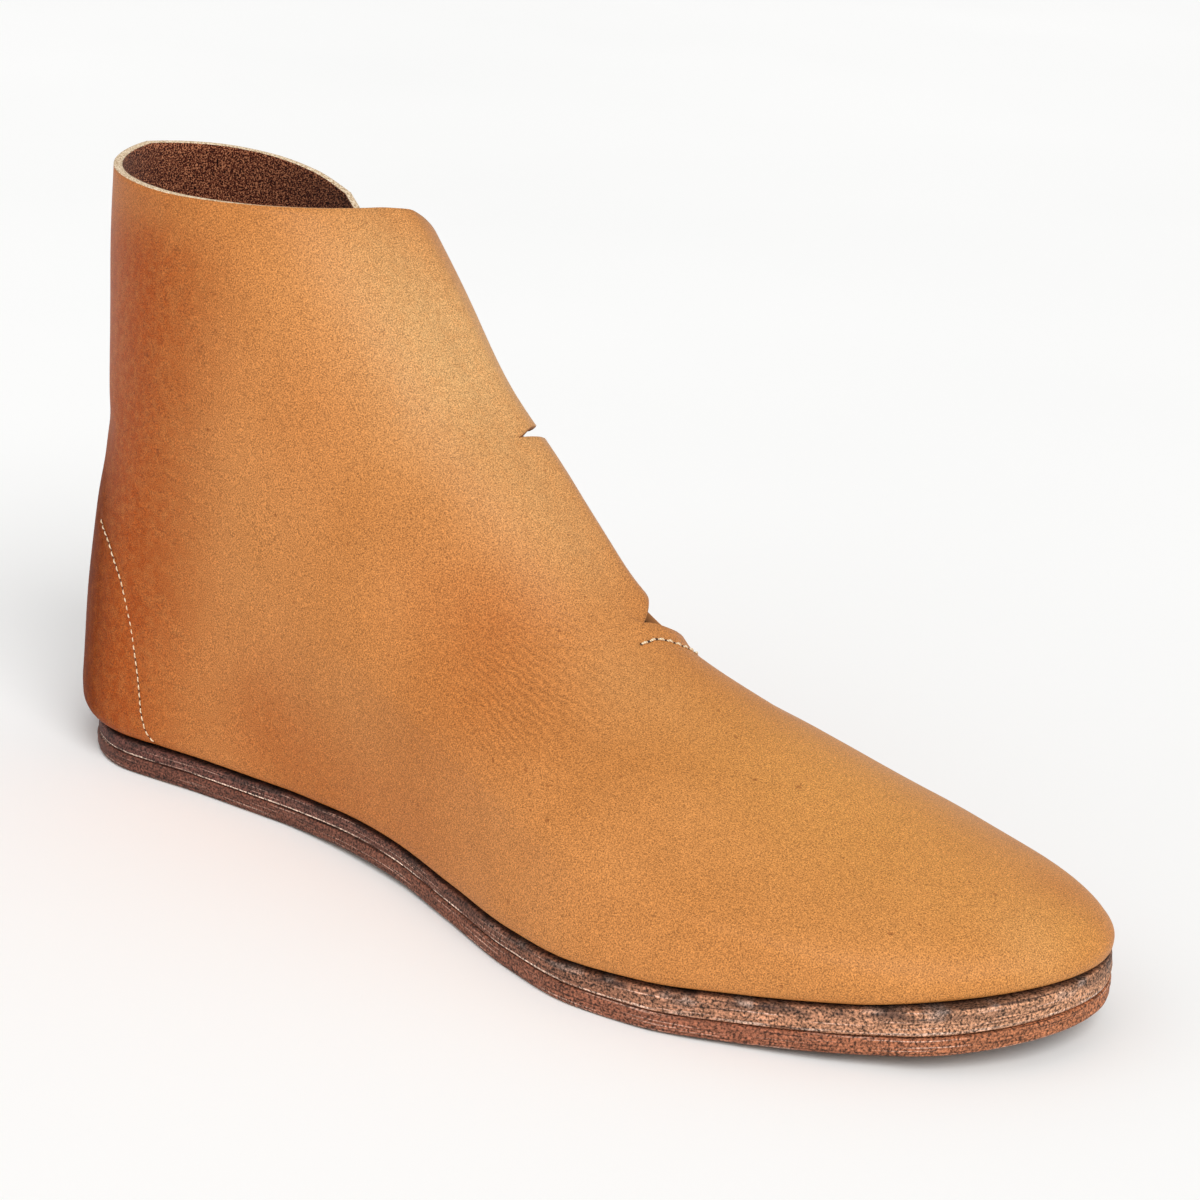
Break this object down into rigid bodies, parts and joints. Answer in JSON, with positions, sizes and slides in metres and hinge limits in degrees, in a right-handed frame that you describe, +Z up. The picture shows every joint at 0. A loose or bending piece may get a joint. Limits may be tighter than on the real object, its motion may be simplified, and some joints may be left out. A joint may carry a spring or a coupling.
{
  "type": "medieval ankle boot",
  "caption": "Low right ankle boot with a hollow one-piece leather upper, a slit flap wrapped over the front and tied on the inner side with thongs, on a flat layered leather sole",
  "frame": {"origin": "on the floor, under the middle of the boot's box", "axes": "+X to the toe, +Y to the inner side of the right foot, +Z up"},
  "size_m": [0.3004, 0.1066, 0.1597],
  "materials": {
    "outsole": "thick sole leather with a trimmed, stained and waxed edge",
    "midsole": "thick sole leather with a rougher dark stained edge",
    "insole": "plain worn vegetable-tanned leather footbed",
    "upper": "smooth tan full-grain leather with a soft wax sheen, dark brown suede flesh side within",
    "thong": "dark brown cut leather thong"
  },
  "bodies": {
    "root": {"outsole": "outsole", "midsole": "midsole", "insole": "insole", "upper": "upper", "lace_upper": "thong", "lace_lower": "thong"}
  },
  "joints": []
}
